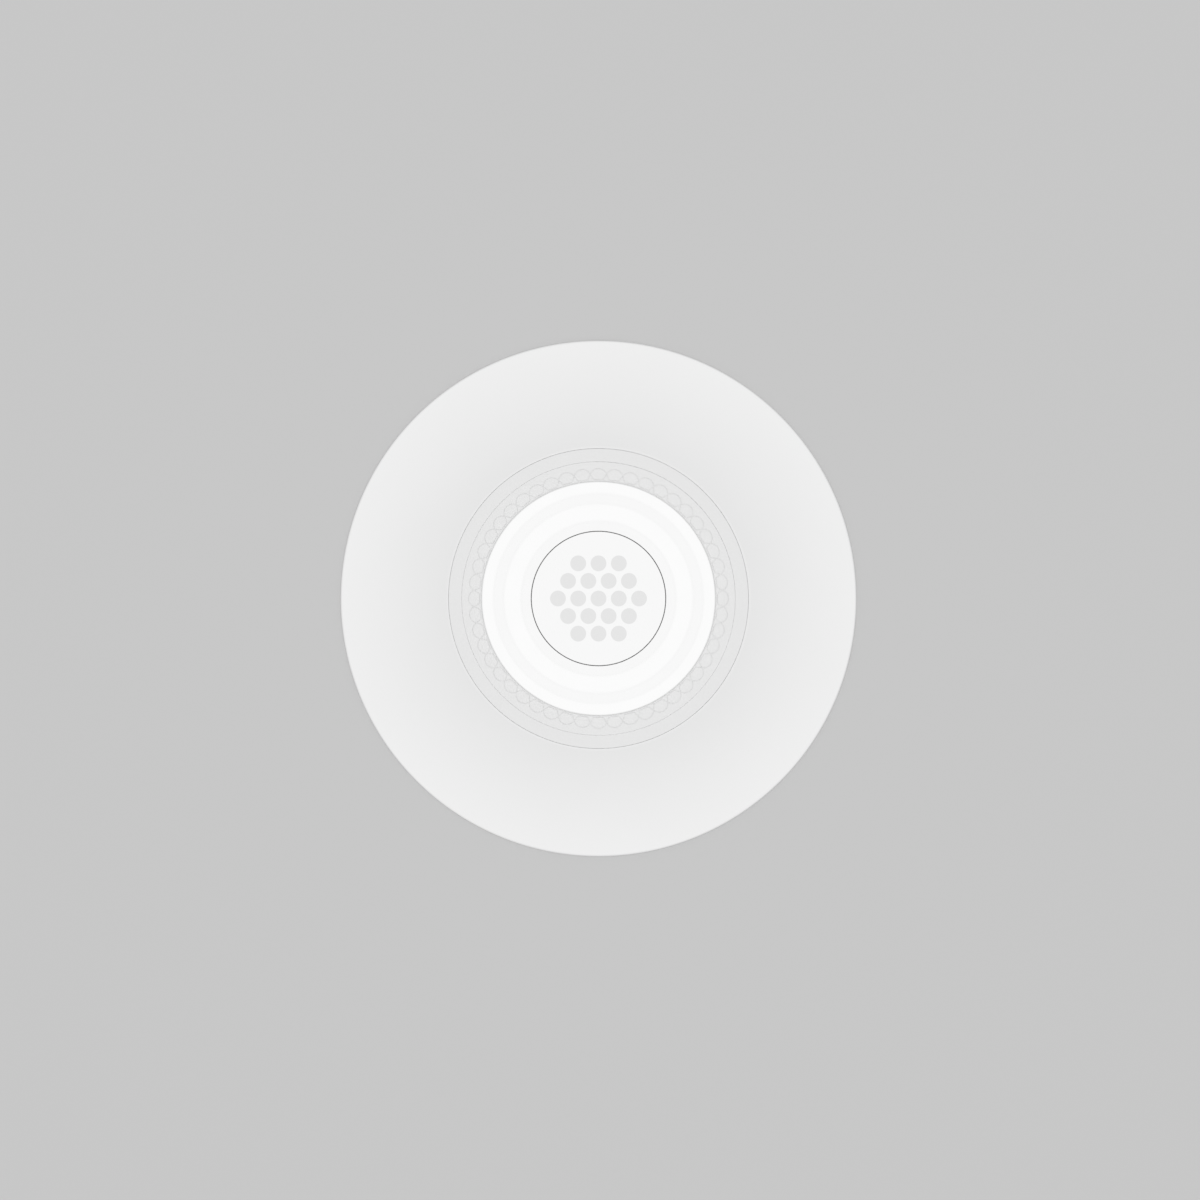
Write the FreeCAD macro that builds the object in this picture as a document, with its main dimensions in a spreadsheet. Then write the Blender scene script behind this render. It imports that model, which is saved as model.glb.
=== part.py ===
# Suction phone patch: a soft suction cup that carries a pop-out bellows grip, drawn with the grip pushed in.
# Every piece is turned about the Z axis. The sealing lip lies on Z = 0, and the button faces up.
import FreeCAD
import Part
import Sketcher
import enum
import math
import os

FULL_TURN = 360.0

SIZES = {
    # Button, from the middle outwards
    "cap_radius": 8.9,
    "cap_wall": 1.1,
    "cap_plate": 1.2,
    "cap_round": 0.06,
    "cap_dish": 0.2,
    "cap_gap": 0.1,
    "core_thickness": 0.65,
    "spigot_wall": 1.0,
    "spigot_height": 2.5,
    "spigot_gap": 0.1,
    "snap_height": 1.4,
    "snap_round": 0.25,
    "snap_gap": 0.05,
    "rest_gap": 0.1,
    # Bellows, from its lip round the button to its foot under the ring
    "lip_thickness": 0.5,
    "lip_gap": 0.05,
    "bellows_wall": 0.7,
    "bend_round": 0.3,
    "band_width": 0.95,
    "band_round": 0.06,
    "ridge_height": 0.1,
    "ridge_slope": 0.7,
    "inner_ridge": 1.65,
    "valley_width": 0.6,
    "outer_ridge": 1.05,
    "shoulder_round": 0.2,
    "crown_rise": 2.6,
    # Clamp ring with its row of outlined pads
    "ring_gap": 0.03,
    "ring_width": 2.67,
    "ring_thickness": 0.7,
    "ring_skirt": 0.55,
    "ring_round": 0.04,
    "pad_count": 48,
    "pad_sill": 0.34,
    "pad_flare": 0.65,
    "pad_arch": 0.71,
    "pad_foot": 1.2,
    "pad_width": 2.06,
    "groove_width": 0.1,
    "groove_depth": 0.15,
    # Platform
    "ring_seam": 0.01,
    "seam_gap": 0.02,
    "fit_gap": 0.1,
    "platform_rim": 1.74,
    "platform_round": 0.06,
    "platform_floor": 0.8,
    "platform_stand": 0.1,
    "ledge_height": 0.8,
    "flange_reach": 1.4,
    "flange_thickness": 0.8,
    # Suction cup
    "skirt_width": 14.48,
    "skirt_curve": 40.0,
    "rim_thickness": 0.9,
    "rim_round": 0.3,
    "seal_width": 1.6,
    "cavity_depth": 1.0,
    "cup_web": 0.8,
    "collar_round": 0.06,
}


class Axis(enum.IntEnum):
    """A sketch's own axes, by the numbers that its constraints use. The first one starts at the origin."""

    ACROSS = -1
    UP = -2


class Spot(enum.IntEnum):
    """The points of a sketched edge, by the numbers that its constraints use."""

    START = 1
    END = 2
    CENTRE = 3


class Size:
    """A length that carries its value and the sheet formula that gives it."""

    def __init__(self, value, formula):
        self.value = value
        self.formula = formula

    def __add__(self, other):
        return Size(self.value + other.value, f"({self.formula} + {other.formula})")

    def __sub__(self, other):
        return Size(self.value - other.value, f"({self.formula} - {other.formula})")

    def __mul__(self, other):
        return Size(self.value * other.value, f"({self.formula} * {other.formula})")

    def __truediv__(self, other):
        return Size(self.value / other.value, f"({self.formula} / {other.formula})")


class Outline:
    """A closed outline in a sketch, drawn from corner to corner, with every corner bound to its sizes."""

    def __init__(self, sketch, across, up):
        self.sketch = sketch
        self.first = (across, up)
        self.last = (across, up)
        self.first_end = None
        self.last_end = None

    def line_to(self, across, up):
        """A straight run to the next corner."""
        edge = self.sketch.addGeometry(Part.LineSegment(point(*self.last), point(across, up)))
        self.join(edge, Spot.START, Spot.END, across, up)

    def round_to(self, across, up, centre_across, centre_up, left_turn):
        """A round run to the next corner about a known centre. It may be half a circle."""
        chord = point(across, up) - point(*self.last)
        edge = self.arc(point(across, up), point(centre_across, centre_up), left_turn)
        if abs(chord.x) > abs(chord.y):
            self.bind("DistanceY", edge, Spot.CENTRE, centre_up)
        else:
            self.bind("DistanceX", edge, Spot.CENTRE, centre_across)
        self.join(edge, *self.arc_ends(left_turn), across, up)

    def sweep_to(self, across, up, radius, left_turn):
        """A shallow round run to the next corner, of a known radius."""
        begin = point(*self.last)
        end = point(across, up)
        half = (end - begin) * 0.5
        aside = FreeCAD.Vector(-half.y, half.x, 0) * (1 if left_turn else -1)
        aside.normalize()
        centre = begin + half + aside * math.sqrt(radius.value ** 2 - half.Length ** 2)
        edge = self.arc(end, centre, left_turn)
        bound = self.sketch.addConstraint(Sketcher.Constraint("Radius", edge, radius.value))
        self.sketch.setExpression(f"Constraints[{bound}]", radius.formula)
        self.join(edge, *self.arc_ends(left_turn), across, up)

    def slope_to(self, across, up, radius, left_first):
        """A soft slope to the next corner: two round runs that meet half way, level at both ends."""
        half_across = (self.last[0] + across) / TWO
        half_up = (self.last[1] + up) / TWO
        self.sweep_to(half_across, half_up, radius, left_first)
        self.sweep_to(across, up, radius, not left_first)

    def close(self):
        """The straight run back to the first corner."""
        edge = self.sketch.addGeometry(Part.LineSegment(point(*self.last), point(*self.first)))
        self.meet((edge, Spot.START), self.last_end)
        self.meet((edge, Spot.END), self.first_end)
        self.fix(edge, Spot.END, *self.first)

    def arc(self, end, centre, left_turn):
        begin = point(*self.last)
        circle = Part.Circle(centre, FreeCAD.Vector(0, 0, 1), (begin - centre).Length)
        low, high = (begin, end) if left_turn else (end, begin)
        angles = [math.atan2(p.y - centre.y, p.x - centre.x) for p in (low, high)]
        return self.sketch.addGeometry(Part.ArcOfCircle(circle, *angles))

    def arc_ends(self, left_turn):
        return (Spot.START, Spot.END) if left_turn else (Spot.END, Spot.START)

    def join(self, edge, begin_end, far_end, across, up):
        if self.last_end:
            self.meet((edge, begin_end), self.last_end)
        else:
            self.first_end = (edge, begin_end)
        self.fix(edge, far_end, across, up)
        self.last = (across, up)
        self.last_end = (edge, far_end)

    def meet(self, one, other):
        self.sketch.addConstraint(Sketcher.Constraint("Coincident", *one, *other))

    def fix(self, edge, end, across, up):
        for kind, length, axis in (("DistanceX", across, Axis.UP), ("DistanceY", up, Axis.ACROSS)):
            if length.value == 0:
                self.sketch.addConstraint(Sketcher.Constraint("PointOnObject", edge, end, axis))
            else:
                self.bind(kind, edge, end, length)

    def bind(self, kind, edge, end, length):
        rule = Sketcher.Constraint(kind, Axis.ACROSS, Spot.START, edge, end, length.value)
        bound = self.sketch.addConstraint(rule)
        self.sketch.setExpression(f"Constraints[{bound}]", length.formula)


def point(across, up):
    return FreeCAD.Vector(across.value, up.value, 0)


def origin_of(body, role):
    """One of the body's own base planes or axes."""
    return next(f for f in body.Origin.OriginFeatures if f.Role == role)


def new_sketch(body, name, role):
    sketch = body.newObject("Sketcher::SketchObject", name)
    sketch.AttachmentSupport = [(origin_of(body, role), "")]
    sketch.MapMode = "FlatFace"
    return sketch


def new_body(label):
    body = doc.addObject("PartDesign::Body", label)
    body.Label = label
    body.Placement = FreeCAD.Placement()
    return body


def new_plan(body, name, width):
    """A sketch on the ring's top face, moved so that an outline this wide lies evenly about the X axis."""
    sketch = new_sketch(body, name, "XY_Plane")
    sketch.setExpression("AttachmentOffset.Base.y", (ZERO - width / TWO).formula)
    sketch.setExpression("AttachmentOffset.Base.z", rim_top.formula)
    return sketch


def cut_down(body, sketch, depth):
    """The outline cut straight down."""
    before = body.Shape.Volume
    cut = body.newObject("PartDesign::Pocket", sketch.Name + "_cut")
    cut.Profile = sketch
    cut.setExpression("Length", depth.formula)
    sketch.Visibility = False
    doc.recompute()
    if cut.Shape.Volume >= before:
        raise RuntimeError(f"{sketch.Name} cut nothing away")
    return cut


def turn(body, sketch):
    """The outline turned once round the Z axis."""
    turned = body.newObject("PartDesign::Revolution", sketch.Name + "_turned")
    turned.Profile = sketch
    turned.ReferenceAxis = (sketch, ["V_Axis"])
    turned.Angle = FULL_TURN
    sketch.Visibility = False
    doc.recompute()
    return turned


doc = FreeCAD.newDocument("suction_phone_patch")
sheet = doc.addObject("Spreadsheet::Sheet", "Sizes")
for row, (alias, number) in enumerate(SIZES.items(), start=1):
    sheet.set(f"A{row}", str(number))
    sheet.setAlias(f"A{row}", alias)
doc.recompute()


def size(alias):
    return Size(float(sheet.get(alias)), f"Sizes.{alias}")


ZERO = Size(0.0, "0")
TWO = Size(2.0, "2")
FOUR = Size(4.0, "4")

# Radii, worked outwards from the button. "Under" is the hidden side of the bellows' wall.
wall = size("bellows_wall")
cap_radius = size("cap_radius")
cap_inside = cap_radius - size("cap_wall")
spigot_radius = cap_inside - size("spigot_gap")
bellows_bore = cap_radius + size("cap_gap")
bellows_bore_under = bellows_bore + wall
band_out = bellows_bore + size("band_width")
inner_ridge_in = band_out + size("ridge_slope")
inner_ridge_out = inner_ridge_in + size("inner_ridge")
valley_in = inner_ridge_out + size("ridge_slope")
valley_out = valley_in + size("valley_width")
outer_ridge_in = valley_out + size("ridge_slope")
outer_ridge_out = outer_ridge_in + size("outer_ridge")
bellows_radius = outer_ridge_out + size("shoulder_round")
bellows_radius_under = bellows_radius - wall
ring_bore = bellows_radius + size("ring_gap")
ring_radius = ring_bore + size("ring_width")
ring_skirt_bore = ring_radius - size("ring_skirt")
foot_radius = ring_skirt_bore - size("fit_gap")
rebate_radius = ring_radius + size("ring_seam")
platform_radius = rebate_radius + size("platform_rim")
flange_radius = platform_radius + size("flange_reach")
collar_bore = platform_radius + size("seam_gap")
cup_radius = collar_bore + size("skirt_width")

# Heights, worked upwards from the sealing lip
cup_floor = size("cavity_depth") + size("cup_web")
well_floor = cup_floor + size("platform_floor")
ledge = well_floor + size("ledge_height")
foot_top = ledge + wall
rim_top = foot_top + size("ring_thickness")
collar_top = rim_top - size("platform_stand")
crown_top = rim_top + size("crown_rise")
crown_under = crown_top - wall
ridge_top = crown_top + size("ridge_height")
core_bottom = well_floor + size("rest_gap")
core_top = core_bottom + size("core_thickness")
lip_bottom = core_top + size("lip_gap")
lip_top = lip_bottom + size("lip_thickness")
cap_bottom = lip_top + size("lip_gap")
cap_top = crown_top
snap_middle = cap_bottom + size("snap_height")


def make_suction_cup():
    """Soft disc: a flared skirt with a thin rim, a shallow cavity below and a seat for the platform."""
    body = new_body("suction_cup")
    sketch = new_sketch(body, "cup_section", "XZ_Plane")
    seat_radius = flange_radius + size("fit_gap")
    seat_top = cup_floor + size("flange_thickness") + size("fit_gap")
    collar_round = size("collar_round")
    rim_round = size("rim_round")
    rim_top_edge = size("rim_thickness")
    cavity_radius = cup_radius - rim_round - size("seal_width")
    cavity_depth = size("cavity_depth")
    cavity_curve = (cavity_radius * cavity_radius + cavity_depth * cavity_depth) / (cavity_depth * TWO)
    outline = Outline(sketch, ZERO, cup_floor)
    outline.line_to(seat_radius, cup_floor)
    outline.line_to(seat_radius, seat_top)
    outline.line_to(collar_bore, seat_top)
    outline.line_to(collar_bore, collar_top - collar_round)
    outline.round_to(
        collar_bore + collar_round, collar_top, collar_bore + collar_round, collar_top - collar_round, False
    )
    outline.sweep_to(cup_radius - rim_round, rim_top_edge, size("skirt_curve"), True)
    outline.round_to(
        cup_radius, rim_top_edge - rim_round, cup_radius - rim_round, rim_top_edge - rim_round, False
    )
    outline.line_to(cup_radius, rim_round)
    outline.round_to(cup_radius - rim_round, ZERO, cup_radius - rim_round, rim_round, False)
    outline.line_to(cavity_radius, ZERO)
    outline.sweep_to(ZERO, cavity_depth, cavity_curve, True)
    outline.close()
    turn(body, sketch)
    return body


def make_platform():
    """Stiff dish: a flange under the cup's collar, a well below the bellows and a ledge for its foot."""
    body = new_body("platform")
    sketch = new_sketch(body, "platform_section", "XZ_Plane")
    edge = size("platform_round")
    flange_top = cup_floor + size("flange_thickness")
    outline = Outline(sketch, ZERO, cup_floor)
    outline.line_to(flange_radius, cup_floor)
    outline.line_to(flange_radius, flange_top)
    outline.line_to(platform_radius, flange_top)
    outline.line_to(platform_radius, rim_top - edge)
    outline.round_to(platform_radius - edge, rim_top, platform_radius - edge, rim_top - edge, True)
    outline.line_to(rebate_radius, rim_top)
    outline.line_to(rebate_radius, ledge)
    outline.line_to(bellows_radius_under, ledge)
    outline.line_to(bellows_radius_under, well_floor)
    outline.line_to(ZERO, well_floor)
    outline.close()
    turn(body, sketch)
    return body


def draw_pad(sketch, full_width, margin):
    """A pad seen from above, grown by a margin: a straight foot, two flared sides and an arched outer end."""
    middle = full_width / TWO
    half_foot = size("pad_foot") / TWO + margin
    half_width = size("pad_width") / TWO + margin
    arch = size("pad_arch") + margin
    arch_round = (half_width * half_width + arch * arch) / (arch * TWO)
    foot = ring_bore + size("pad_sill")
    flared = foot + size("pad_flare")
    outline = Outline(sketch, foot - margin, middle - half_foot)
    outline.line_to(flared, middle - half_width)
    outline.sweep_to(flared, middle + half_width, arch_round, True)
    outline.line_to(foot - margin, middle + half_foot)
    outline.close()


def make_clamp_ring():
    """Stiff ring that holds the bellows' foot down, with a row of pads outlined by a fine groove."""
    body = new_body("clamp_ring")
    sketch = new_sketch(body, "ring_section", "XZ_Plane")
    edge = size("ring_round")
    outline = Outline(sketch, ring_bore, foot_top)
    outline.line_to(ring_skirt_bore, foot_top)
    outline.line_to(ring_skirt_bore, ledge)
    outline.line_to(ring_radius, ledge)
    outline.line_to(ring_radius, rim_top - edge)
    outline.round_to(ring_radius - edge, rim_top, ring_radius - edge, rim_top - edge, True)
    outline.line_to(ring_bore + edge, rim_top)
    outline.round_to(ring_bore, rim_top - edge, ring_bore + edge, rim_top - edge, True)
    outline.close()
    turn(body, sketch)

    groove = size("groove_width")
    full_width = size("pad_width") + groove * TWO
    plan = new_plan(body, "pad_groove", full_width)
    draw_pad(plan, full_width, groove)
    draw_pad(plan, full_width, ZERO)
    groove_cut = cut_down(body, plan, size("groove_depth"))

    row = body.newObject("PartDesign::PolarPattern", "pad_row")
    row.Originals = [groove_cut]
    row.Axis = (origin_of(body, "Z_Axis"), [""])
    row.Angle = FULL_TURN
    row.setExpression("Occurrences", size("pad_count").formula)
    body.Tip = row
    doc.recompute()
    return body


def make_bellows():
    """One soft moulding, folded over: a foot, a wall up, a crown with two ridges, a wall down and a lip."""
    body = new_body("bellows")
    sketch = new_sketch(body, "bellows_section", "XZ_Plane")
    edge = size("band_round")
    bend = size("bend_round")
    shoulder = ridge_top - size("shoulder_round")
    slope = size("ridge_slope")
    ridge = size("ridge_height")
    slope_round = (slope * slope + ridge * ridge) / (ridge * FOUR)
    outline = Outline(sketch, foot_radius, ledge)
    # The side that shows, from the foot inwards
    outline.line_to(foot_radius, foot_top)
    outline.line_to(bellows_radius, foot_top)
    outline.line_to(bellows_radius, shoulder)
    outline.round_to(outer_ridge_out, ridge_top, outer_ridge_out, shoulder, True)
    outline.line_to(outer_ridge_in, ridge_top)
    outline.slope_to(valley_out, crown_top, slope_round, True)
    outline.line_to(valley_in, crown_top)
    outline.slope_to(inner_ridge_out, ridge_top, slope_round, False)
    outline.line_to(inner_ridge_in, ridge_top)
    outline.slope_to(band_out, crown_top, slope_round, True)
    outline.line_to(bellows_bore + edge, crown_top)
    outline.round_to(bellows_bore, crown_top - edge, bellows_bore + edge, crown_top - edge, True)
    outline.line_to(bellows_bore, lip_top)
    outline.line_to(cap_inside, lip_top)
    # The side below, from the lip back to the foot
    outline.line_to(cap_inside, lip_bottom)
    outline.line_to(bellows_bore_under, lip_bottom)
    outline.line_to(bellows_bore_under, crown_under - bend)
    outline.round_to(
        bellows_bore_under + bend, crown_under, bellows_bore_under + bend, crown_under - bend, False
    )
    outline.line_to(bellows_radius_under - bend, crown_under)
    outline.round_to(
        bellows_radius_under, crown_under - bend, bellows_radius_under - bend, crown_under - bend, False
    )
    outline.line_to(bellows_radius_under, ledge)
    outline.close()
    turn(body, sketch)
    return body


def make_button_core():
    """Flanged disc under the bellows' lip, with a spigot and a snap bead that the cap clips over."""
    body = new_body("button_core")
    sketch = new_sketch(body, "core_section", "XZ_Plane")
    spigot_bore = spigot_radius - size("spigot_wall")
    spigot_top = core_top + size("spigot_height")
    snap = size("snap_round")
    outline = Outline(sketch, ZERO, core_bottom)
    outline.line_to(cap_radius, core_bottom)
    outline.line_to(cap_radius, core_top)
    outline.line_to(spigot_radius, core_top)
    outline.line_to(spigot_radius, snap_middle - snap)
    outline.round_to(spigot_radius, snap_middle + snap, spigot_radius, snap_middle, True)
    outline.line_to(spigot_radius, spigot_top)
    outline.line_to(spigot_bore, spigot_top)
    outline.line_to(spigot_bore, core_top)
    outline.line_to(ZERO, core_top)
    outline.close()
    turn(body, sketch)
    return body


def make_button_cap():
    """Round cap with a shallow finger dish, hollow below, with a groove for the snap bead."""
    body = new_body("button_cap")
    sketch = new_sketch(body, "cap_section", "XZ_Plane")
    edge = size("cap_round")
    groove = size("snap_round") + size("snap_gap")
    plate_bottom = cap_top - size("cap_plate")
    dish_radius = cap_radius - edge
    dish = size("cap_dish")
    dish_curve = (dish_radius * dish_radius + dish * dish) / (dish * TWO)
    outline = Outline(sketch, ZERO, plate_bottom)
    outline.line_to(cap_inside, plate_bottom)
    outline.line_to(cap_inside, snap_middle + groove)
    outline.round_to(cap_inside, snap_middle - groove, cap_inside, snap_middle, False)
    outline.line_to(cap_inside, cap_bottom)
    outline.line_to(cap_radius, cap_bottom)
    outline.line_to(cap_radius, cap_top - edge)
    outline.round_to(dish_radius, cap_top, dish_radius, cap_top - edge, True)
    outline.sweep_to(ZERO, cap_top - dish, dish_curve, False)
    outline.close()
    turn(body, sketch)
    return body


pieces = [
    make_suction_cup(),
    make_platform(),
    make_clamp_ring(),
    make_bellows(),
    make_button_core(),
    make_button_cap(),
]
doc.recompute()

for item in doc.Objects:
    if "Invalid" in item.State or "Error" in item.State:
        raise RuntimeError(f"{item.Label} did not build: {item.State}")
for piece in pieces:
    if piece.Shape.isNull() or not piece.Shape.isValid():
        raise RuntimeError(f"{piece.Label} has no sound solid")

os.makedirs("parts", exist_ok=True)
for piece in pieces:
    piece.Shape.exportStep(f"parts/{piece.Label}.step")
    print(piece.Label, round(piece.Shape.Volume, 1), "mm3", len(piece.Shape.Solids), "solid")
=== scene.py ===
# Suction phone patch: the looks of a soft suction cup that carries a pop-out bellows grip, and its studio.
import math
from functools import cached_property
from itertools import accumulate

import bmesh
import bpy
from bpy.props import FloatProperty, FloatVectorProperty, PointerProperty
from bpy.types import Operator, Panel, PropertyGroup
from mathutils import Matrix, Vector
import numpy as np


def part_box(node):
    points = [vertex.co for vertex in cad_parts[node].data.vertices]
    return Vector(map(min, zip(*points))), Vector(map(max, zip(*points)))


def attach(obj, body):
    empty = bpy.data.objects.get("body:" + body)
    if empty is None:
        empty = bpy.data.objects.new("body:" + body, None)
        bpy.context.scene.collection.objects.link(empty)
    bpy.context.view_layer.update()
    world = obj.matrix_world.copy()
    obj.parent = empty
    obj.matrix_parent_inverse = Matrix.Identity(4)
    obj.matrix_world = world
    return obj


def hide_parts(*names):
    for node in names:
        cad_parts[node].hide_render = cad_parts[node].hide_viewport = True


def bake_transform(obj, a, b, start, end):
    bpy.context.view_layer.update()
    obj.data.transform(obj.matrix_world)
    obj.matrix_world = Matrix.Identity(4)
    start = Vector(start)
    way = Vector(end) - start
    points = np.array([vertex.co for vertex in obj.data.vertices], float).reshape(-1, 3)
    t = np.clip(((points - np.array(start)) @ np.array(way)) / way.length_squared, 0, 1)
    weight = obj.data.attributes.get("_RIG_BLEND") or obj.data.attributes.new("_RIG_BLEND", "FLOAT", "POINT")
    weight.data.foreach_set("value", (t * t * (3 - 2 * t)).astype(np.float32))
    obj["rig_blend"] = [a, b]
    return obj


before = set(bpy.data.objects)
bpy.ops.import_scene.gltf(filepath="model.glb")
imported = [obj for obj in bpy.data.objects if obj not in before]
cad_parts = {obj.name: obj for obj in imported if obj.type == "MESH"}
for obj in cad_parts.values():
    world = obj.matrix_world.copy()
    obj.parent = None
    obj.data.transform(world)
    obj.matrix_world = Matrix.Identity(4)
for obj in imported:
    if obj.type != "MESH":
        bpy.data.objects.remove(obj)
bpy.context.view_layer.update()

bl_info = {
    "name": "Suction Phone Patch",
    "version": (1, 0, 0),
    "blender": (4, 5, 0),
    "location": "3D View > Sidebar > Suction Patch",
    "description": "Moulds and finishes a suction phone patch with a pop-out grip, and lights it",
    "category": "Add Mesh",
}

MM = 0.001
QUARTER = math.radians(90.0)
FULL_TURN = math.radians(360.0)
WELD = 0.001 * MM
SHARP_EDGE = math.radians(35.0)

# How many steps a full turn, a round edge, a long sweep and the two sides of the bellows are made of
TURN_STEPS = 288
ARC_STEPS = 8
SWEEP_STEPS = 40
WALL_STEPS = 12
UNDERSIDE_STEPS = 24

# The axis about which a section's outline turns left, seen from the front
LEFT_TURN = Vector((0.0, -1.0, 0.0))

# What the points of the bellows keep: their share of the travel and how far up a ridge they lie
FOLLOW = "follow_button"
RIDGE = "ridge"

# The sockets of a Mix node that mixes colours
MIX_FACTOR, MIX_FIRST, MIX_SECOND, MIX_RESULT = 0, 6, 7, 2

# Rows of printed dots round the middle one, and how far past the last row the print reaches
DOT_ROWS = 2
DOT_MARGIN = 0.1

WHITE = (1.0, 1.0, 1.0)

CUP_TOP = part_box("suction_cup")[1]
PLATFORM_FOOT, PLATFORM_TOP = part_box("platform")
CAP_FOOT, CAP_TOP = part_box("button_cap")
BELLOWS_FOOT, BELLOWS_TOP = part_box("bellows")


def length(name, millimetres, description):
    """A length that a user can change, written in millimetres and kept in metres."""
    return FloatProperty(
        name=name, description=description, default=millimetres * MM, min=0.0, unit="LENGTH", precision=5
    )


def share(name, default, description):
    """A number from nought to one."""
    return FloatProperty(
        name=name, description=description, default=default, min=0.0, max=1.0, subtype="FACTOR"
    )


def shade(name, grey, description):
    """A neutral colour that a user can change."""
    return FloatVectorProperty(
        name=name, description=description, default=(grey, grey, grey), min=0.0, max=1.0, subtype="COLOR"
    )


class SuctionCupSettings(PropertyGroup):
    """Sizes and colours of the soft suction cup."""

    seam: length("Seam", 0.015, "Gap between the soft collar and the platform")
    fit: length("Fit", 0.1, "Gap round the platform's flange, under the collar")
    flange_reach: length("Flange reach", 1.4, "How far the platform's flange runs under the collar")
    flange_thickness: length("Flange thickness", 0.8, "Thickness of the platform's flange")
    collar_round: length("Collar round", 0.06, "Round on the collar's inner edge")
    skirt_curve: length("Skirt curve", 40.0, "Radius of the skirt's hollow flare")
    rim_thickness: length("Rim thickness", 0.9, "Thickness of the skirt at its rim")
    rim_round: length("Rim round", 0.3, "Round on both edges of the rim")
    seal_width: length("Seal width", 1.6, "Width of the flat sealing lip")
    cavity_depth: length("Cavity depth", 1.0, "Depth of the hollow under the cup")
    # The collar's darker off-white and the rim's paler one are the two ends of painted shade: the skirt is
    # darkened towards the collar, where it slopes steeper.
    colour: shade("Colour", 0.831, "Off-white of the soft silicone by the collar")
    rim_painted_light_colour: shade("Rim colour", 0.864, "Paler off-white of the thin rim")


class PlatformSettings(PropertyGroup):
    """Colour of the stiff platform and its clamp ring."""

    colour: shade("Colour", 0.778, "Off-white of the stiff plastic")


class BellowsSettings(PropertyGroup):
    """Sizes and colours of the soft bellows, and how it opens."""

    wall: length("Wall", 0.7, "Thickness of the wall")
    bend_round: length("Bend round", 0.3, "Round inside the bends of the wall")
    lip_reach: length("Lip reach", 1.2, "How far the lip runs in under the button's cap")
    lip_thickness: length("Lip thickness", 0.5, "Thickness of the lip")
    lip_gap: length("Lip gap", 0.05, "Gap between the lip and the cap")
    cap_gap: length("Cap gap", 0.1, "Dark gap between the cap and the bellows")
    band_round: length("Band round", 0.06, "Round on the edge by the cap")
    band_width: length("Band width", 0.95, "Width of the level band round the cap")
    ridge_height: length("Ridge height", 0.1, "Height of the two ridges on the crown")
    ridge_slope: length("Ridge slope", 0.7, "Width of a ridge's soft side")
    inner_ridge: length("Inner ridge", 1.65, "Width of the inner ridge's level top")
    valley_width: length("Valley width", 0.6, "Width of the level floor between the ridges")
    outer_ridge: length("Outer ridge", 1.05, "Width of the outer ridge's level top")
    shoulder_round: length("Shoulder round", 0.2, "Round on the outer edge of the crown")
    press: length("Press", 0.02, "How far the soft crown presses out towards the clamp ring")
    crown_travel: share("Crown travel", 0.3, "Share of the travel that the crown's inner edge makes")
    colour: shade("Colour", 0.955, "White of the soft elastomer on the ridges")
    # Painted shade: the darker white that the hollows and the walls below the ridges are given.
    hollow_painted_shade: shade("Hollow colour", 0.922, "Duller white in the hollows beside the ridges")


class ButtonSettings(PropertyGroup):
    """Colours of the button, and the dots printed on it."""

    dot_radius: length("Dot radius", 1.05, "Radius of one printed dot")
    dot_pitch: length("Dot pitch", 2.7, "Distance from one printed dot to the next")
    colour: shade("Colour", 0.915, "White of the satin plastic")
    ink: shade("Ink", 0.78, "Pale grey of the printed dots")


class StudioSettings(PropertyGroup):
    """Floor, light and camera."""

    floor_size: length("Floor size", 4000.0, "Side of the square floor")
    floor_colour: shade("Floor colour", 0.572, "Pale grey of the floor")
    backdrop: shade("Backdrop", 0.62, "Pale grey behind the floor's far edge")
    ambient: share("Ambient", 0.52, "Share of the light that comes from all round")
    lamp: share("Lamp", 0.48, "Share of the light that comes from the lamp overhead")
    lamp_height: length("Lamp height", 1600.0, "Height of the lamp overhead")
    lamp_size: length("Lamp size", 320.0, "Width of the lamp overhead")
    lens: FloatProperty(
        name="Lens", description="Focal length of the camera", default=300.0, min=1.0, unit="CAMERA"
    )
    view_width: length("View width", 160.6, "Width of what the camera sees at the floor")
    view_shift: length("View shift", 0.2, "How far the patch lies left of and above the middle of the view")


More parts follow.
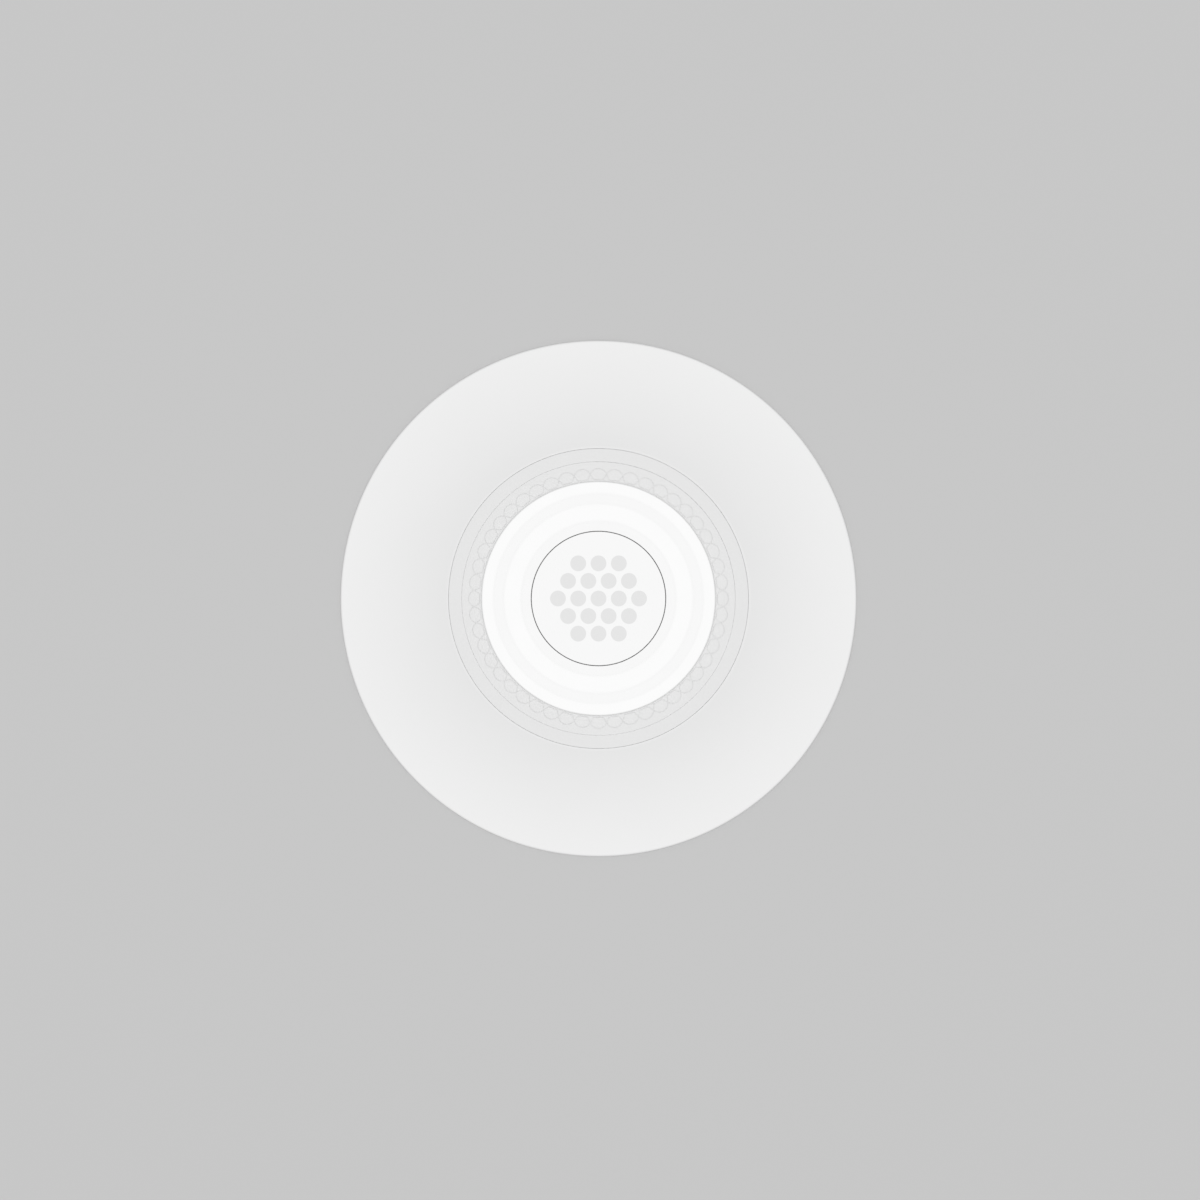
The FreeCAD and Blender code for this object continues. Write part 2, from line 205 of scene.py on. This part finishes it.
class SectionPen:
    """Draws half of a turned piece's section with bmesh operators, seen from the front."""

    def __init__(self, across, up):
        self.mesh = bmesh.new()
        self.follow = self.mesh.verts.layers.float.new(FOLLOW)
        self.points = [bmesh.ops.create_vert(self.mesh, co=self.place(across, up))["vert"][0]]
        self.marks = []

    @staticmethod
    def place(across, up):
        """A place in the section's plane."""
        return Vector((across, 0.0, up))

    def line_to(self, across, up, steps=1):
        """A straight run to the next corner."""
        begin = self.points[-1].co.copy()
        end = self.place(across, up)
        for step in range(1, steps + 1):
            new = bmesh.ops.extrude_vert_indiv(self.mesh, verts=self.points[-1:])["verts"][0]
            new.co = begin.lerp(end, step / steps)
            self.points.append(new)

    def swing(self, centre, angle, steps):
        """Carries the last point round a centre and keeps the points that it leaves behind."""
        known = len(self.mesh.verts)
        bmesh.ops.spin(
            self.mesh, geom=self.points[-1:], cent=centre, axis=LEFT_TURN, angle=angle, steps=steps
        )
        self.mesh.verts.ensure_lookup_table()
        self.points += self.mesh.verts[known:]

    def arc(self, across, up, angle):
        """A round run about a centre. A positive angle turns left."""
        self.swing(self.place(across, up), angle, ARC_STEPS)

    def sweep_to(self, across, up, radius):
        """A shallow round run to the next corner, of a known radius, that turns left."""
        begin = self.points[-1].co.copy()
        half = (self.place(across, up) - begin) / 2
        aside = LEFT_TURN.cross(half).normalized()
        centre = begin + half + aside * math.sqrt(radius ** 2 - half.length_squared)
        self.swing(centre, 2 * math.asin(half.length / radius), SWEEP_STEPS)

    def slope_to(self, across, up):
        """A soft slope inwards to the next corner: two round runs that meet half way, level at both ends."""
        begin = self.points[-1].co.copy()
        width, rise = begin.x - across, up - begin.z
        radius = (width ** 2 + rise ** 2) / (4 * abs(rise))
        angle = math.copysign(math.asin(width / 2 / radius), -rise)
        radius = math.copysign(radius, rise)
        self.arc(begin.x, begin.z + radius, angle)
        self.arc(across, up - radius, -angle)

    def mark(self, value):
        """Notes how far the point drawn last goes along with the button."""
        self.marks.append((len(self.points) - 1, value))

    def close(self):
        """The straight run back to the first point."""
        bmesh.ops.contextual_create(self.mesh, geom=[self.points[-1], self.points[0]])

    def write_marks(self):
        """Goes evenly from each mark to the next, by the length of the run, and keeps it on the points."""
        for (first, low), (last, high) in zip(self.marks, self.marks[1:]):
            run = self.points[first:last + 1]
            steps = [(after.co - before.co).length for before, after in zip(run, run[1:])]
            for vert, gone in zip(run, accumulate(steps, initial=0.0)):
                vert[self.follow] = low + (high - low) * gone / sum(steps)

    def turn(self):
        """Turns the outline once about the Z axis and closes the seam and the poles."""
        bmesh.ops.spin(
            self.mesh, geom=self.mesh.verts[:] + self.mesh.edges[:], cent=(0, 0, 0), axis=(0, 0, 1),
            angle=FULL_TURN, steps=TURN_STEPS, use_merge=True,
        )
        bmesh.ops.remove_doubles(self.mesh, verts=self.mesh.verts[:], dist=WELD)
        bmesh.ops.recalc_face_normals(self.mesh, faces=self.mesh.faces[:])


def new_piece(name, mesh):
    """An object at the origin, made from a bmesh, smooth apart from its sharp edges."""
    data = bpy.data.meshes.new(name)
    mesh.to_mesh(data)
    mesh.free()
    data.shade_smooth()
    data.set_sharp_from_angle(angle=SHARP_EDGE)
    piece = bpy.data.objects.new(name, data)
    bpy.context.scene.collection.objects.link(piece)
    return piece


def paint(piece, material):
    """Gives a piece one finish all over."""
    piece.data.materials.clear()
    piece.data.materials.append(material)


class Wire:
    """A shader socket that takes part in sums: each operator adds the Math node that does it."""

    def __init__(self, nodes, socket):
        self.nodes = nodes
        self.socket = socket

    def math(self, operation, *values):
        """The result of one Math node."""
        return self.nodes.node("ShaderNodeMath", {"operation": operation}, dict(enumerate(values)))

    def __add__(self, other):
        return self.math("ADD", self, other)

    def __sub__(self, other):
        return self.math("SUBTRACT", self, other)

    def __rsub__(self, other):
        return self.math("SUBTRACT", other, self)

    def __mul__(self, other):
        return self.math("MULTIPLY", self, other)

    def __lt__(self, other):
        return self.math("LESS_THAN", self, other)

    __radd__ = __add__
    __rmul__ = __mul__


class Nodes:
    """An empty node tree to which nodes are added one by one."""

    def __init__(self, tree):
        self.tree = tree
        self.tree.nodes.clear()

    def node(self, kind, settings=None, sockets=None, output=0):
        """Adds a node: its settings first, then the values or links of its sockets. Returns one output."""
        node = self.tree.nodes.new(kind)
        for name, value in (settings or {}).items():
            setattr(node, name, value)
        for name, value in (sockets or {}).items():
            if isinstance(value, Wire):
                self.tree.links.new(value.socket, node.inputs[name])
            else:
                node.inputs[name].default_value = value
        return Wire(self, node.outputs[output]) if node.outputs else None


class Finish(Nodes):
    """A material with one shader that takes all that varies over the surface."""

    def __init__(self, name):
        self.material = bpy.data.materials.new(name)
        self.material.use_nodes = True
        super().__init__(self.material.node_tree)

    @cached_property
    def place(self):
        """The place on the piece."""
        return self.node("ShaderNodeTexCoord", output="Object")

    @cached_property
    def flat_place(self):
        """The place on the piece, seen from above."""
        return self.vector("MULTIPLY", self.place, (1.0, 1.0, 0.0))

    @cached_property
    def radius(self):
        """The distance from the Z axis."""
        return self.vector("LENGTH", self.flat_place, output="Value")

    def vector(self, operation, *values, output="Vector"):
        """The result of one Vector Math node."""
        return self.node("ShaderNodeVectorMath", {"operation": operation}, dict(enumerate(values)), output)

    def grain(self, size, detail=2.0):
        """Noise from nought to one, with spots of about the given size."""
        spots = {"Vector": self.place, "Scale": 1.0 / size, "Detail": detail}
        return self.node("ShaderNodeTexNoise", {}, spots, "Fac")

    def tool_rings(self, size):
        """Faint rings about the Z axis, as a turned mould leaves them, from nought to one."""
        along = {"W": self.radius, "Scale": 1.0 / size}
        return self.node("ShaderNodeTexNoise", {"noise_dimensions": "1D"}, along, "Fac")

    def mix(self, factor, first, second):
        """Goes from one colour to another."""
        sockets = {MIX_FACTOR: factor, MIX_FIRST: opaque(first), MIX_SECOND: opaque(second)}
        return self.node("ShaderNodeMix", {"data_type": "RGBA"}, sockets, MIX_RESULT)

    def bump(self, height, depth):
        """Raises the surface by up to the given depth."""
        return self.node("ShaderNodeBump", {}, {"Height": height, "Distance": depth}, "Normal")

    def shader(self, sockets):
        """The surface itself."""
        surface = self.node("ShaderNodeBsdfPrincipled", {}, sockets, "BSDF")
        self.node("ShaderNodeOutputMaterial", {}, {"Surface": surface})
        return self.material


def opaque(colour):
    """A colour with full cover, as sockets take it. A linked colour stays as it is."""
    return colour if isinstance(colour, Wire) else (*colour, 1.0)


def tinted(colour, factor):
    """A colour made a little darker or paler."""
    return tuple(part * factor for part in colour)


def soft_silicone(settings, collar, rim):
    """Soft silicone: matt, faintly cloudy, with painted shade that darkens it from the rim in towards the
    collar, where the skirt slopes steeper, and with the mould's sand and turning rings.
    """
    finish = Finish("soft_silicone")
    cloud = finish.grain(9.0 * MM, detail=3.0)
    sand = finish.grain(0.09 * MM)
    rings = finish.tool_rings(0.35 * MM)
    # Painted shade: nought by the collar, where the colour is darkest, up to one at the rim.
    painted_shade_to_rim = (finish.radius - collar) * (1.0 / (rim - collar))
    return finish.shader({
        "Base Color": finish.mix(painted_shade_to_rim + 0.4 * (cloud - 0.5), settings.colour, settings.rim_painted_light_colour),
        "Roughness": 0.62 + 0.12 * sand + 0.06 * cloud,
        "Normal": finish.bump(sand + 0.5 * rings, 0.004 * MM),
        "IOR": 1.41,
    })


def stiff_plastic(colour):
    """Stiff plastic with a fine spark-eroded grain."""
    finish = Finish("stiff_plastic")
    cloud = finish.grain(5.0 * MM)
    sand = finish.grain(0.12 * MM)
    return finish.shader({
        "Base Color": finish.mix(cloud, tinted(colour, 0.992), tinted(colour, 1.008)),
        "Roughness": 0.62 + 0.16 * sand,
        "Normal": finish.bump(sand, 0.006 * MM),
        "IOR": 1.5,
    })


def white_elastomer(colour, hollow_painted_shade):
    """Smooth satin elastomer, a little uneven in gloss, with painted shade that darkens its colour in the
    hollows beside the ridges and down the walls below them.
    """
    finish = Finish("white_elastomer")
    cloud = finish.grain(4.0 * MM, detail=3.0)
    sand = finish.grain(0.07 * MM)
    # Painted shade: off the ridge tops the colour goes to the darker hollow white.
    ridge = finish.node("ShaderNodeAttribute", {"attribute_name": RIDGE}, {}, "Fac")
    return finish.shader({
        "Base Color": finish.mix(ridge - 0.06 * cloud, hollow_painted_shade, colour),
        "Roughness": 0.55 + 0.14 * cloud,
        "Normal": finish.bump(sand, 0.003 * MM),
        "IOR": 1.45,
    })


def printed_plastic(settings):
    """Satin plastic with a hexagon of pale dots printed on it."""
    finish = Finish("printed_plastic")
    cloud = finish.grain(6.0 * MM)
    sand = finish.grain(0.06 * MM)
    dots = printed_dots(finish, settings.dot_pitch, settings.dot_radius)
    plain = finish.mix(cloud, tinted(settings.colour, 0.995), tinted(settings.colour, 1.003))
    return finish.shader({
        "Base Color": finish.mix(dots, plain, settings.ink),
        "Roughness": 0.55 + 0.08 * sand + 0.1 * dots,
        "Normal": finish.bump(sand, 0.003 * MM),
        "IOR": 1.5,
    })


def printed_dots(finish, pitch, radius):
    """One on the dots and nought off them. Two grids of dots, half a cell apart, make a honeycomb."""
    cell = Vector((pitch, pitch * math.sqrt(3.0), 1.0))
    reach = (DOT_ROWS + DOT_MARGIN) * pitch
    dots = 0.0
    for shift in (Vector((cell.x, cell.y, 0.0)) / 2, Vector((0.0, 0.0, 0.0))):
        moved = finish.vector("ADD", finish.flat_place, shift + cell / 2)
        middle = finish.vector("SUBTRACT", finish.vector("SNAP", moved, cell), shift)
        away = finish.vector("DISTANCE", finish.flat_place, middle, output="Value")
        out = finish.vector("LENGTH", middle, output="Value")
        dots = dots + (away < radius) * (out < reach)
    return dots


class PATCH_OT_suction_cup(Operator):
    """Moulds the soft suction cup in one piece, with its flared skirt and flat sealing lip"""

    bl_idname = "patch.suction_cup"
    bl_label = "Suction Cup"

    def execute(self, context):
        s = context.scene.patch_cup
        radius, top, floor = CUP_TOP.x, CUP_TOP.z, PLATFORM_FOOT.z
        seat = PLATFORM_TOP.x + s.fit
        seat_top = floor + s.flange_thickness + s.fit
        bore = PLATFORM_TOP.x - s.flange_reach + s.seam
        cavity = radius - s.rim_round - s.seal_width
        cavity_curve = (cavity ** 2 + s.cavity_depth ** 2) / (2 * s.cavity_depth)

        pen = SectionPen(0.0, floor)
        pen.line_to(seat, floor)
        pen.line_to(seat, seat_top)
        pen.line_to(bore, seat_top)
        pen.line_to(bore, top - s.collar_round)
        pen.arc(bore + s.collar_round, top - s.collar_round, -QUARTER)
        pen.sweep_to(radius - s.rim_round, s.rim_thickness, s.skirt_curve)
        pen.arc(radius - s.rim_round, s.rim_thickness - s.rim_round, -QUARTER)
        pen.line_to(radius, s.rim_round)
        pen.arc(radius - s.rim_round, s.rim_round, -QUARTER)
        pen.line_to(cavity, 0.0)
        pen.sweep_to(0.0, s.cavity_depth, cavity_curve)
        pen.close()
        pen.turn()

        cup = new_piece("suction_cup_moulding", pen.mesh)
        paint(cup, soft_silicone(s, bore, radius))
        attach(cup, "base")
        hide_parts("suction_cup")
        return {"FINISHED"}


class PATCH_OT_platform(Operator):
    """Finishes the stiff platform and the ring of pads that clamps the bellows to it"""

    bl_idname = "patch.platform"
    bl_label = "Platform and Clamp Ring"

    def execute(self, context):
        plastic = stiff_plastic(context.scene.patch_platform.colour)
        paint(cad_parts["platform"], plastic)
        paint(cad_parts["clamp_ring"], plastic)
        return {"FINISHED"}


class PATCH_OT_bellows(Operator):
    """Moulds the soft bellows in one piece and lets its folds open as the button pops out"""

    bl_idname = "patch.bellows"
    bl_label = "Bellows"

    def execute(self, context):
        s = context.scene.patch_bellows
        wall, bend, edge, shoulder = s.wall, s.bend_round, s.band_round, s.shoulder_round
        bore = CAP_TOP.x + s.cap_gap
        lip_bore = bore - s.lip_reach
        band_out = bore + s.band_width
        inner_in = band_out + s.ridge_slope
        inner_out = inner_in + s.inner_ridge
        valley_in = inner_out + s.ridge_slope
        valley_out = valley_in + s.valley_width
        outer_in = valley_out + s.ridge_slope
        outer_out = outer_in + s.outer_ridge + s.press
        radius = outer_out + shoulder
        foot = BELLOWS_FOOT.z
        crown = CAP_TOP.z
        ridge = crown + s.ridge_height
        under = crown - wall
        lip_top = CAP_FOOT.z - s.lip_gap
        lip_bottom = lip_top - s.lip_thickness

        pen = SectionPen(BELLOWS_TOP.x, foot)
        pen.mark(0.0)
        # The side that shows, from the foot inwards
        pen.line_to(BELLOWS_TOP.x, foot + wall)
        pen.line_to(radius, foot + wall)
        pen.line_to(radius, ridge - shoulder, steps=4)
        pen.arc(outer_out, ridge - shoulder, QUARTER)
        pen.mark(0.0)
        pen.line_to(outer_in, ridge, steps=3)
        pen.slope_to(valley_out, crown)
        pen.line_to(valley_in, crown, steps=2)
        pen.slope_to(inner_out, ridge)
        pen.line_to(inner_in, ridge, steps=6)
        pen.slope_to(band_out, crown)
        pen.line_to(bore + edge, crown, steps=3)
        pen.mark(s.crown_travel)
        pen.arc(bore + edge, crown - edge, QUARTER)
        pen.line_to(bore, lip_top, WALL_STEPS)
        pen.mark(1.0)
        pen.line_to(lip_bore, lip_top)
        # The side below, from the lip back to the foot
        pen.line_to(lip_bore, lip_bottom)
        pen.line_to(bore + wall, lip_bottom)
        pen.mark(1.0)
        pen.line_to(bore + wall, under - bend, WALL_STEPS)
        pen.arc(bore + wall + bend, under - bend, -QUARTER)
        pen.mark(s.crown_travel)
        pen.line_to(radius - wall - bend, under, UNDERSIDE_STEPS)
        pen.mark(0.0)
        pen.arc(radius - wall - bend, under - bend, -QUARTER)
        pen.line_to(radius - wall, foot)
        pen.mark(0.0)
        pen.close()
        pen.write_marks()
        pen.turn()

        bellows = new_piece("bellows_moulding", pen.mesh)
        self.note_ridges(bellows.data, crown, ridge)
        paint(bellows, white_elastomer(s.colour, s.hollow_painted_shade))
        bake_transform(bellows, "base", "button", start=(0, 0, foot), end=(0, 0, CAP_TOP.z))
        self.open_fold_by_fold(bellows.data)
        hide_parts("bellows")
        return {"FINISHED"}

    def note_ridges(self, data, crown, ridge):
        """Keeps on each point how far up a ridge it lies, from nought to one, which places the elastomer's
        painted shade in the hollows.
        """
        notes = data.attributes.new(RIDGE, "FLOAT", "POINT")
        heights = [(point.co.z - crown) / (ridge - crown) for point in data.vertices]
        notes.data.foreach_set("value", [min(max(height, 0.0), 1.0) for height in heights])

    def open_fold_by_fold(self, data):
        """The folded wall doubles back on itself, so each point follows by its place along the wall."""
        shares = [point.value for point in data.attributes[FOLLOW].data]
        data.attributes["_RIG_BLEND"].data.foreach_set("value", shares)
        data.attributes.remove(data.attributes[FOLLOW])


class PATCH_OT_button(Operator):
    """Finishes the button's cap, with its printed dots, and the core under it"""

    bl_idname = "patch.button"
    bl_label = "Button"

    def execute(self, context):
        plastic = printed_plastic(context.scene.patch_button)
        paint(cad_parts["button_cap"], plastic)
        paint(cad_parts["button_core"], plastic)
        return {"FINISHED"}


class PATCH_OT_studio(Operator):
    """Lays the pale floor, hangs the lamp and sets the camera straight above the patch"""

    bl_idname = "patch.studio"
    bl_label = "Studio"

    def execute(self, context):
        s = context.scene.patch_studio
        scene = context.scene
        scene.view_settings.view_transform = "Standard"
        self.lay_floor(s)
        self.light_all_round(scene, s)
        self.hang_lamp(scene, s)
        self.set_camera(scene, s)
        return {"FINISHED"}

    def lay_floor(self, s):
        """A plain matt floor under the patch."""
        sheet = bmesh.new()
        bmesh.ops.create_grid(sheet, x_segments=1, y_segments=1, size=s.floor_size / 2)
        floor = new_piece("floor", sheet)
        matt = {"Base Color": opaque(s.floor_colour), "Roughness": 0.9}
        paint(floor, Finish("pale_floor").shader(matt))

    def light_all_round(self, scene, s):
        """Even white light from all round, with a pale backdrop where the camera looks past the floor."""
        world = bpy.data.worlds.new("studio")
        world.use_nodes = True
        nodes = Nodes(world.node_tree)
        light = nodes.node("ShaderNodeBackground", {}, {"Color": opaque(WHITE), "Strength": s.ambient})
        backdrop = nodes.node("ShaderNodeBackground", {}, {"Color": opaque(s.backdrop)})
        seen = nodes.node("ShaderNodeLightPath", output="Is Camera Ray")
        choice = nodes.node("ShaderNodeMixShader", {}, {0: seen, 1: light, 2: backdrop})
        nodes.node("ShaderNodeOutputWorld", {}, {"Surface": choice})
        scene.world = world

    def hang_lamp(self, scene, s):
        """A round lamp that gives a white floor below it the given share of its brightness."""
        lamp = bpy.data.lights.new("overhead_lamp", "AREA")
        lamp.shape = "DISK"
        lamp.size = s.lamp_size
        lamp.energy = s.lamp * (math.pi * s.lamp_height) ** 2
        holder = bpy.data.objects.new("overhead_lamp", lamp)
        holder.location = (0.0, 0.0, s.lamp_height)
        scene.collection.objects.link(holder)

    def set_camera(self, scene, s):
        """A camera straight above, at the height from which its lens takes in the view's width."""
        camera = bpy.data.cameras.new("camera")
        camera.lens = s.lens
        holder = bpy.data.objects.new("camera", camera)
        height = s.view_width * camera.lens / camera.sensor_width
        holder.location = (s.view_shift, -s.view_shift, height)
        scene.collection.objects.link(holder)
        scene.camera = holder


class PATCH_PT_panel(Panel):
    """The steps that make the patch, in order, with their settings"""

    bl_label = "Suction Patch"
    bl_idname = "PATCH_PT_panel"
    bl_space_type = "VIEW_3D"
    bl_region_type = "UI"
    bl_category = "Suction Patch"

    def draw(self, context):
        for operator, pointer, _ in STEPS:
            box = self.layout.box()
            box.operator(operator.bl_idname)
            settings = getattr(context.scene, pointer)
            for name in settings.bl_rna.properties.keys():
                if name not in {"rna_type", "name"}:
                    box.prop(settings, name)


STEPS = (
    (PATCH_OT_suction_cup, "patch_cup", SuctionCupSettings),
    (PATCH_OT_platform, "patch_platform", PlatformSettings),
    (PATCH_OT_bellows, "patch_bellows", BellowsSettings),
    (PATCH_OT_button, "patch_button", ButtonSettings),
    (PATCH_OT_studio, "patch_studio", StudioSettings),
)


def register():
    """Adds the settings, the steps and the panel."""
    for operator, pointer, settings in STEPS:
        bpy.utils.register_class(settings)
        setattr(bpy.types.Scene, pointer, PointerProperty(type=settings))
        bpy.utils.register_class(operator)
    bpy.utils.register_class(PATCH_PT_panel)


def unregister():
    """Takes the panel, the steps and the settings away again."""
    bpy.utils.unregister_class(PATCH_PT_panel)
    for operator, pointer, settings in reversed(STEPS):
        bpy.utils.unregister_class(operator)
        delattr(bpy.types.Scene, pointer)
        bpy.utils.unregister_class(settings)


def main():
    """Makes the patch and its studio, step by step."""
    register()
    bpy.ops.patch.suction_cup()
    bpy.ops.patch.platform()
    bpy.ops.patch.bellows()
    bpy.ops.patch.button()
    bpy.ops.patch.studio()


if __name__ == "__main__":
    main()
